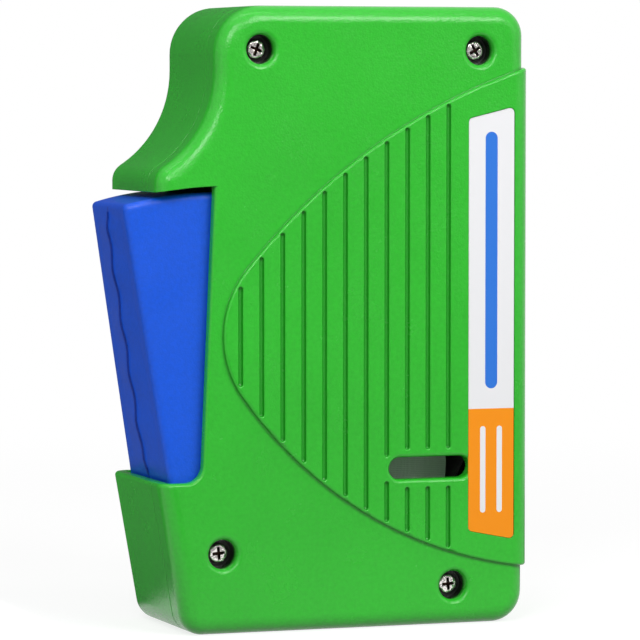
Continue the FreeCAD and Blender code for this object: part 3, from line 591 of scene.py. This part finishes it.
def woven(name, colour):
    """Cloth of crossed threads that run along Y and Z."""
    material, tree, shader, place = new_finish(name)
    split = axes(tree, place)
    turn = 2 * math.pi / thread_pitch
    warp, weft = (calc(tree, "SINE", calc(tree, "MULTIPLY", split[axis], turn)) for axis in "YZ")
    crossed = spread(tree, calc(tree, "MULTIPLY", warp, weft), 0.0, 1.0, -1.0, 1.0)
    fuzz = calc(tree, "MULTIPLY", noise(tree, place, fuzz_size, 4.0, 0.7), fuzz_share)
    height = calc(tree, "ADD", crossed, fuzz)
    # The base colour is darker where the threads are low: painted shade in the gaps, mixed with random
    # fuzz.
    give(tree, shader, {
        "Base Color": shades(tree, spread(tree, height, 0.0, 1.0, 0.2, 1.1), colour, (0.80, 1.0)),
        "Normal": pressed_in(tree, height, thread_depth),
        "Roughness": 0.85,
        "Sheen Weight": 0.2,
    })
    return material


cloth_tape = woven("cloth_tape", tape_green)
shaded_strip_tape = woven("shaded_strip_tape", tape_green)
# Painted shade: faces of the strip not turned towards +X are painted near black.
tree = shaded_strip_tape.node_tree
facing = axes(tree, add(tree, "ShaderNodeNewGeometry").outputs["True Normal"])
overcoat(shaded_strip_tape, strip_shade, calc(tree, "LESS_THAN", facing["X"], 0.5))
print("tapes:", cloth_tape.name, shaded_strip_tape.name)

# %% [markdown]
# The brake ring under the supply reel is pressed felt, and the pad behind the tape is soft silicone
# rubber. Hair strands could make the felt, but the ring is small and hidden, so both take a cloudy
# colour and an uneven skin from noise, and differ in fibre and gloss.


# %% Felt and rubber
def pressed(name, colour, fibre, depth, gloss):
    """Felted or rubbery surface with a cloudy colour and a soft uneven skin."""
    material, tree, shader, place = new_finish(name)
    cloud = noise(tree, place, fibre * 5, 5.0, 0.65)
    give(tree, shader, {
        "Base Color": shades(tree, spread(tree, cloud, 0.0, 1.0), colour, (0.75, 1.0, 1.2)),
        "Roughness": spread(tree, cloud, gloss - 0.06, gloss + 0.06),
        "Normal": pressed_in(tree, noise(tree, place, fibre, 4.0, 0.7), depth),
    })
    return material


felt = pressed("pressed_felt", (0.30, 0.28, 0.25), 0.25 * mm, 0.08 * mm, 0.88)
rubber = pressed("soft_rubber", (0.09, 0.09, 0.095), 0.6 * mm, 0.01 * mm, 0.62)
print("soft finishes:", felt.name, rubber.name)

# %% [markdown]
# The moulded pieces keep the frame's exact shapes, rounded edges and grooves included, and only
# change their finish. They could be modelled again as meshes, but a copy would fit no better. The
# list follows how the cassette comes apart: shells and lever first, then the white wheels, the black
# window parts, the metal and what is soft.

# %% Finishes on the frame
finishes = {
    green: ["front_shell", "rear_shell"],
    blue: ["lever"],
    film: ["label"],
    natural: ["drive_gear", "take_up_reel", "supply_reel", "stop_pawl", "lower_roller", "upper_roller"],
    black: ["window_plate", "shutter", "pad_holder"],
    nickel: ["case_screws", "roller_pins"],
    spring_steel: ["lever_spring", "clutch_spring"],
    cloth_tape: ["take_up_tape", "supply_tape"],
    shaded_strip_tape: ["tape_run"],
    felt: ["drag_washer"],
    rubber: ["wiping_pad"],
}
for finish, names in finishes.items():
    for name in names:
        nodes[name].data.materials.clear()
        nodes[name].data.materials.append(finish)
print("finished", sum(len(names) for names in finishes.values()), "of", len(nodes), "nodes")

# %% [markdown]
# Screws repeat, and springs and rolls of tape follow a path. Python loops could write out all their
# faces, but a small tree of geometry nodes says the same in a few steps, and its sizes are named
# inputs, so one tree serves two springs or two rolls. Each ends by making its instances real and
# giving them their finish.


# %% Trees that grow
def new_tree(name, sizes):
    """Geometry tree with a geometry input and named sizes; returns the tree and its input sockets."""
    tree = bpy.data.node_groups.new(name, "GeometryNodeTree")
    tree.interface.new_socket("Geometry", in_out="INPUT", socket_type="NodeSocketGeometry")
    for label, kind in sizes.items():
        tree.interface.new_socket(label, in_out="INPUT", socket_type="NodeSocket" + kind)
    tree.interface.new_socket("Geometry", in_out="OUTPUT", socket_type="NodeSocketGeometry")
    return tree, add(tree, "NodeGroupInput").outputs


def end_tree(tree, grown, finish):
    """Closes a tree: instances become real and take their finish."""
    real = add(tree, "GeometryNodeRealizeInstances", {"Geometry": grown}).outputs[0]
    done = add(tree, "GeometryNodeSetMaterial", {"Geometry": real, "Material": finish}).outputs[0]
    add(tree, "NodeGroupOutput", {"Geometry": done})


print("trees ready")

# %% [markdown]
# What a tree grows is turned into a plain mesh at once, because a moving part is easier to handle
# without a live modifier. It then takes the place of the frame's plainer solid and rides on the same
# body, if one is named. A wire that reaches from one body to another rides on neither.

# %% From tree to piece
sharp_edge = math.radians(35)


def new_object(name, mesh):
    """Object at the origin of the scene."""
    thing = bpy.data.objects.new(name, mesh)
    bpy.context.scene.collection.objects.link(thing)
    return thing


def plain_mesh(thing):
    """Mesh of an object with its modifiers worked out; the object itself is removed."""
    graph = bpy.context.evaluated_depsgraph_get()
    mesh = bpy.data.meshes.new_from_object(thing.evaluated_get(graph), depsgraph=graph)
    thing.modifiers.clear()
    bpy.data.objects.remove(thing)
    return mesh


def grow(name, seed, tree, sizes, body, node):
    """Piece that a tree grows from a seed mesh in place of a frame node, on a body if one is named."""
    sprout = new_object(name + "_seed", seed)
    modifier = sprout.modifiers.new("grow", "NODES")
    modifier.node_group = tree
    for item in tree.interface.items_tree:
        if item.in_out == "INPUT" and item.name in sizes:
            modifier[item.identifier] = sizes[item.name]
    mesh = plain_mesh(sprout)
    mesh.shade_smooth()
    mesh.set_sharp_from_angle(angle=sharp_edge)
    piece = new_object(name, mesh)
    if body:
        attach(piece, body)
    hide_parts(node)
    print(name, "grown with", len(mesh.polygons), "faces")
    return piece


print("ready to grow")

# %% [markdown]
# Each screw has a low domed head and a coarse thread that cuts its own way into the plastic boss. The
# blank, without cross and thread, is a turned form. A stack of cylinders and cones would leave hard
# steps in the dome, so half of its outline is written down and spun about the axis.

# %% Screw blank
head_top = -13.0
head_seat = -11.6
screw_tip = -3.1
blank_outline = [
    (0.0, head_top), (0.80, head_top + 0.005), (1.35, head_top + 0.02), (1.65, head_top + 0.09),
    (1.80, head_top + 0.21), (1.89, head_top + 0.34), (1.94, head_top + 0.50), (1.95, head_top + 0.70),
    (1.95, head_seat - 0.10), (1.86, head_seat), (1.05, head_seat), (0.88, head_seat + 0.18),
    (0.88, screw_tip - 0.9), (0.30, screw_tip - 0.06), (0.0, screw_tip),
]
blank_steps = 56
same_point = 1e-7


def spun(name, outline, steps):
    """Closed mesh turned about the Y axis from an outline of radius and place along the axis, in mm."""
    form = bmesh.new()
    points = [form.verts.new(Vector((radius, y, 0)) * mm) for radius, y in outline]
    edges = [form.edges.new(pair) for pair in zip(points, points[1:])]
    turned = points + edges
    bmesh.ops.spin(form, geom=turned, axis=(0, 1, 0), cent=(0, 0, 0), steps=steps, angle=2 * math.pi)
    bmesh.ops.remove_doubles(form, verts=form.verts, dist=same_point)
    bmesh.ops.recalc_face_normals(form, faces=form.faces)
    mesh = bpy.data.meshes.new(name)
    form.to_mesh(mesh)
    form.free()
    return mesh


blank = new_object("screw_blank", spun("screw_blank", blank_outline, blank_steps))
print("screw blank with", len(blank.data.polygons), "faces")

# %% [markdown]
# The driver's cross is two bars that meet on the axis and narrow towards the bottom. It could be
# painted on, but the light has to fall into it, so it is cut from the head, and the first step is to
# make two tapered bars that reach a little out of the head.

# %% Cross bars
# The bars' half lengths and half widths at the top and at the foot of the cross, in mm.
cross_top, cross_foot = (1.25, 0.30), (0.72, 0.19)
cross_depth = 0.9
cross_lift = 0.3
cross_turns = (20, 110)


def cross_bar(turn):
    """One arm pair of the cross, tapered towards its foot and lifted clear of the head."""
    slope = [(top - foot) / cross_depth for top, foot in zip(cross_top, cross_foot)]
    mouth = [top + rise * cross_lift for top, rise in zip(cross_top, slope)]
    corners = []
    for (length, width), y in ((mouth, head_top - cross_lift), (cross_foot, head_top + cross_depth)):
        for i, k in ((-1, -1), (1, -1), (1, 1), (-1, 1)):
            corners.append(Vector((i * length, y, k * width)) * mm)
    sides = [(k, (k + 1) % 4, (k + 1) % 4 + 4, k + 4) for k in range(4)]
    mesh = bpy.data.meshes.new("cross_bar")
    mesh.from_pydata(corners, [], [(3, 2, 1, 0), (4, 5, 6, 7)] + sides)
    mesh.transform(Matrix.Rotation(math.radians(turn), 4, "Y"))
    solid = bmesh.new()
    solid.from_mesh(mesh)
    bmesh.ops.recalc_face_normals(solid, faces=solid.faces)
    solid.to_mesh(mesh)
    solid.free()
    return new_object("cross_bar", mesh)


bars = [cross_bar(turn) for turn in cross_turns]
print("cross bars:", len(bars))

# %% [markdown]
# Booleans cut the bars out of the head. The fast kind could do it, but the exact kind is safer where
# two cuts cross. A small bevel then breaks the sharp edges as plating does, and the result is kept as
# a plain mesh.

# %% Cut the cross
edge_break_width = 0.035 * mm

for bar in bars:
    cut = blank.modifiers.new("cross", "BOOLEAN")
    cut.operation = "DIFFERENCE"
    cut.solver = "EXACT"
    cut.object = bar
edge_break = blank.modifiers.new("edge_break", "BEVEL")
edge_break.width = edge_break_width
edge_break.segments = 2
edge_break.limit_method = "ANGLE"
edge_break.angle_limit = sharp_edge
screw_form = new_object("screw_form", plain_mesh(blank))
for bar in bars:
    bpy.data.objects.remove(bar)
print("screw form with", len(screw_form.data.polygons), "faces")

# %% [markdown]
# The thread is a ridge that winds round the shank. A screw modifier could turn it, but the same tree
# has to set the finished screw on four points, so a spiral curve in the tree carries a small
# three-sided section.

# %% Thread and places
ridge_steps = 24

tree, given = new_tree("screws", {
    "Blank": "Object", "Thread radius": "Float", "Thread size": "Float", "Thread length": "Float",
    "Thread turns": "Float", "Thread start": "Float",
})
path = add(tree, "GeometryNodeCurveSpiral", {
    "Resolution": ridge_steps, "Rotations": given["Thread turns"], "Start Radius": given["Thread radius"],
    "End Radius": given["Thread radius"], "Height": given["Thread length"],
}).outputs["Curve"]
three_sided = {"Resolution": 3, "Radius": given["Thread size"]}
section = add(tree, "GeometryNodeCurvePrimitiveCircle", three_sided).outputs["Curve"]
swept = {"Curve": path, "Profile Curve": section, "Fill Caps": True}
ridge = add(tree, "GeometryNodeCurveToMesh", swept).outputs["Mesh"]
start = add(tree, "ShaderNodeCombineXYZ", {"Y": given["Thread start"]}).outputs[0]
along_shank = {"Geometry": ridge, "Rotation": (-math.pi / 2, 0, 0), "Translation": start}
ridge = add(tree, "GeometryNodeTransform", along_shank).outputs["Geometry"]
head = add(tree, "GeometryNodeObjectInfo", {"Object": given["Blank"]}).outputs["Geometry"]
whole = add(tree, "GeometryNodeJoinGeometry")
for part in (head, ridge):
    tree.links.new(part, whole.inputs[0])
turn = add(tree, "GeometryNodeInputNamedAttribute", {"Name": "turn"}, data_type="FLOAT")
about_axis = add(tree, "ShaderNodeCombineXYZ", {"Y": turn.outputs["Attribute"]}).outputs[0]
rotation = add(tree, "FunctionNodeEulerToRotation", {"Euler": about_axis}).outputs[0]
stand = {"Points": given["Geometry"], "Instance": whole.outputs[0], "Rotation": rotation}
end_tree(tree, add(tree, "GeometryNodeInstanceOnPoints", stand).outputs["Instances"], nickel)
print("screw tree with", len(tree.nodes), "nodes")

# %% [markdown]
# On the bench no two screws stop at the same angle. Four copies turned by hand would show that too,
# but then the places would be written down twice, so the four points carry a turn of their own as an
# attribute that the tree reads.

# %% Screws
screw_turns = (0, 40, -25, 65)

points = bpy.data.meshes.new("screw_points")
points.from_pydata([(x * mm, 0, z * mm) for x, z in screw_places], [], [])
turns = points.attributes.new("turn", "FLOAT", "POINT")
for k, degrees in enumerate(screw_turns):
    turns.data[k].value = math.radians(degrees)
sizes = {
    "Blank": screw_form, "Thread radius": 0.93 * mm, "Thread size": 0.16 * mm,
    "Thread length": 6.6 * mm, "Thread turns": 8.0, "Thread start": (head_seat + 0.6) * mm,
}
grow("screws", points, tree, sizes, "casing", "case_screws")
bpy.data.objects.remove(screw_form)

# %% [markdown]
# Two springs are bent from round wire. A screw modifier could make a coil but not its legs, so the
# middle line is written as points, and one tree sweeps a circle along it for both springs.

# %% Bent wire
wire_sides = 14
coil_step = math.radians(7.5)

wire_tree, given = new_tree("bent_wire", {"Wire radius": "Float", "Wire sides": "Int"})
path = add(wire_tree, "GeometryNodeMeshToCurve", {"Mesh": given["Geometry"]}).outputs["Curve"]
round_wire = {"Resolution": given["Wire sides"], "Radius": given["Wire radius"]}
section = add(wire_tree, "GeometryNodeCurvePrimitiveCircle", round_wire).outputs["Curve"]
swept = {"Curve": path, "Profile Curve": section, "Fill Caps": True}
end_tree(wire_tree, add(wire_tree, "GeometryNodeCurveToMesh", swept).outputs["Mesh"], spring_steel)


def coil(axis, radius, start, stop, front, rear):
    """Points round an axle along Y; angles turn from +X towards +Z."""
    count = math.ceil(abs(stop - start) / coil_step)
    points = []
    for k in range(count + 1):
        angle = start + (stop - start) * k / count
        y = front + (rear - front) * k / count
        points.append(Vector((axis.x + radius * math.cos(angle), y, axis.z + radius * math.sin(angle))))
    return points


def wire_piece(name, points, radius, body, node):
    """Spring along a row of points."""
    line = bpy.data.meshes.new(name)
    line.from_pydata(points, [(k, k + 1) for k in range(len(points) - 1)], [])
    sizes = {"Wire radius": radius, "Wire sides": wire_sides}
    return grow(name, line, wire_tree, sizes, body, node)


print("wire ready, in steps of", round(math.degrees(coil_step), 1), "degrees")

# %% [markdown]
# The lever's spring is wound three times round the pivot post, with one leg on a peg in the case and
# one up the inside of the lever. As a stiff piece it would stay behind when the lever is pressed; here
# it rides on no body. The other spring is a short open coil that grips the hubs of pinion and reel.

# %% Springs
pivot = axle["lever_hinge"]
lever_coil_radius, lever_wire = 4.55 * mm, 0.45 * mm
lever_coil_front, lever_coil_rear = 1.0 * mm, 4.48 * mm
coil_start, coil_stop = math.radians(270), finger_lean - 5 * math.pi
lever_leg = 19 * mm
peg_side = -8.5 * mm
grip_radius, grip_wire = 4.95 * mm, 0.24 * mm
grip_front, grip_rear = 9.2 * mm, 10.1 * mm
grip_turn = 3.6 * math.pi

turned = coil(pivot, lever_coil_radius, coil_start, coil_stop, lever_coil_front, lever_coil_rear)
foot = Vector((peg_side, turned[0].y, turned[0].z))
tip = turned[-1] + Vector((-math.sin(finger_lean), 0, math.cos(finger_lean))) * lever_leg
lever_coil = wire_piece("lever_coil", [foot] + turned + [tip], lever_wire, None, "lever_spring")
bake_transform(lever_coil)
grip = coil(axle["drive_gear_spin"], grip_radius, 0.0, grip_turn, grip_front, grip_rear)
wire_piece("grip_coil", grip, grip_wire, "drive_gear", "clutch_spring")

# %% [markdown]
# Both rolls are one strip of cloth wound on a hub, the fresh one about fifty turns thick and the used
# one six. A plain ring would show no layers through the slot, so the strip follows a flat spiral and
# every turn sits a little higher or lower than its neighbour, as machine winding leaves it.

# %% Wound tape
roll_steps = 40
layer_size = 0.5 * mm

tree, given = new_tree("wound_tape", {
    "Hub radius": "Float", "Roll radius": "Float", "Turns": "Float", "Clockwise": "Bool",
    "Strip": "Float", "Width": "Float", "Waver": "Float", "Middle": "Vector",
})
path = add(tree, "GeometryNodeCurveSpiral", {
    "Resolution": roll_steps, "Rotations": given["Turns"], "Start Radius": given["Hub radius"],
    "End Radius": given["Roll radius"], "Height": 0.0, "Reverse": given["Clockwise"],
}).outputs["Curve"]
path = add(tree, "GeometryNodeSetCurveNormal", {"Curve": path}, mode="Z_UP").outputs["Curve"]
flat_strip = {"Width": given["Strip"], "Height": given["Width"]}
section = add(tree, "GeometryNodeCurvePrimitiveQuadrilateral", flat_strip).outputs["Curve"]
swept = {"Curve": path, "Profile Curve": section, "Fill Caps": True}
strip = add(tree, "GeometryNodeCurveToMesh", swept).outputs["Mesh"]
spot = axes(tree, add(tree, "GeometryNodeInputPosition").outputs[0])
flat = add(tree, "ShaderNodeCombineXYZ", {"X": spot["X"], "Y": spot["Y"]}).outputs[0]
layers_out = calc(tree, "DIVIDE", vector_calc(tree, "LENGTH", flat)["Value"], layer_size)
uneven = add(tree, "ShaderNodeTexNoise", {"W": layers_out, "Scale": 1.0}, noise_dimensions="1D")
lift = calc(tree, "MULTIPLY", calc(tree, "SUBTRACT", uneven.outputs["Fac"], 0.5), given["Waver"])
shift = add(tree, "ShaderNodeCombineXYZ", {"Z": lift}).outputs[0]
strip = add(tree, "GeometryNodeSetPosition", {"Geometry": strip, "Offset": shift}).outputs["Geometry"]
on_axle = {"Geometry": strip, "Rotation": (math.pi / 2, 0, 0), "Translation": given["Middle"]}
end_tree(tree, add(tree, "GeometryNodeTransform", on_axle).outputs["Geometry"], cloth_tape)
print("winding tree with", len(tree.nodes), "nodes")

# %% [markdown]
# The strip between the rolls is straight, so it leaves the fresh roll and meets the used one at one
# angle each. A spiral of whole turns would end elsewhere, so each roll lacks the part of a turn that
# brings its end to that angle.

# %% Rolls of tape
tape_middle = Vector((0, -0.5 * mm, 0))
hub_radius = 8.12 * mm
# Each roll has a body, the node it replaces, a radius, its turns and its sense.
rolls = {
    "fresh_roll": ("supply", "supply_tape", 21.4 * mm, 54 - 27.97 / 360, False),
    "used_roll": ("take_up", "take_up_tape", 9.4 * mm, 6 - 36.7 / 360, True),
}
for name, (body, node, radius, turns, clockwise) in rolls.items():
    sizes = {
        "Hub radius": hub_radius, "Roll radius": radius, "Turns": turns, "Clockwise": clockwise,
        "Strip": 0.19 * mm, "Width": 15.84 * mm, "Waver": 0.16 * mm,
        "Middle": axle[body + "_spin"] + tape_middle,
    }
    grow(name, bpy.data.meshes.new(name + "_seed"), tree, sizes, body, node)
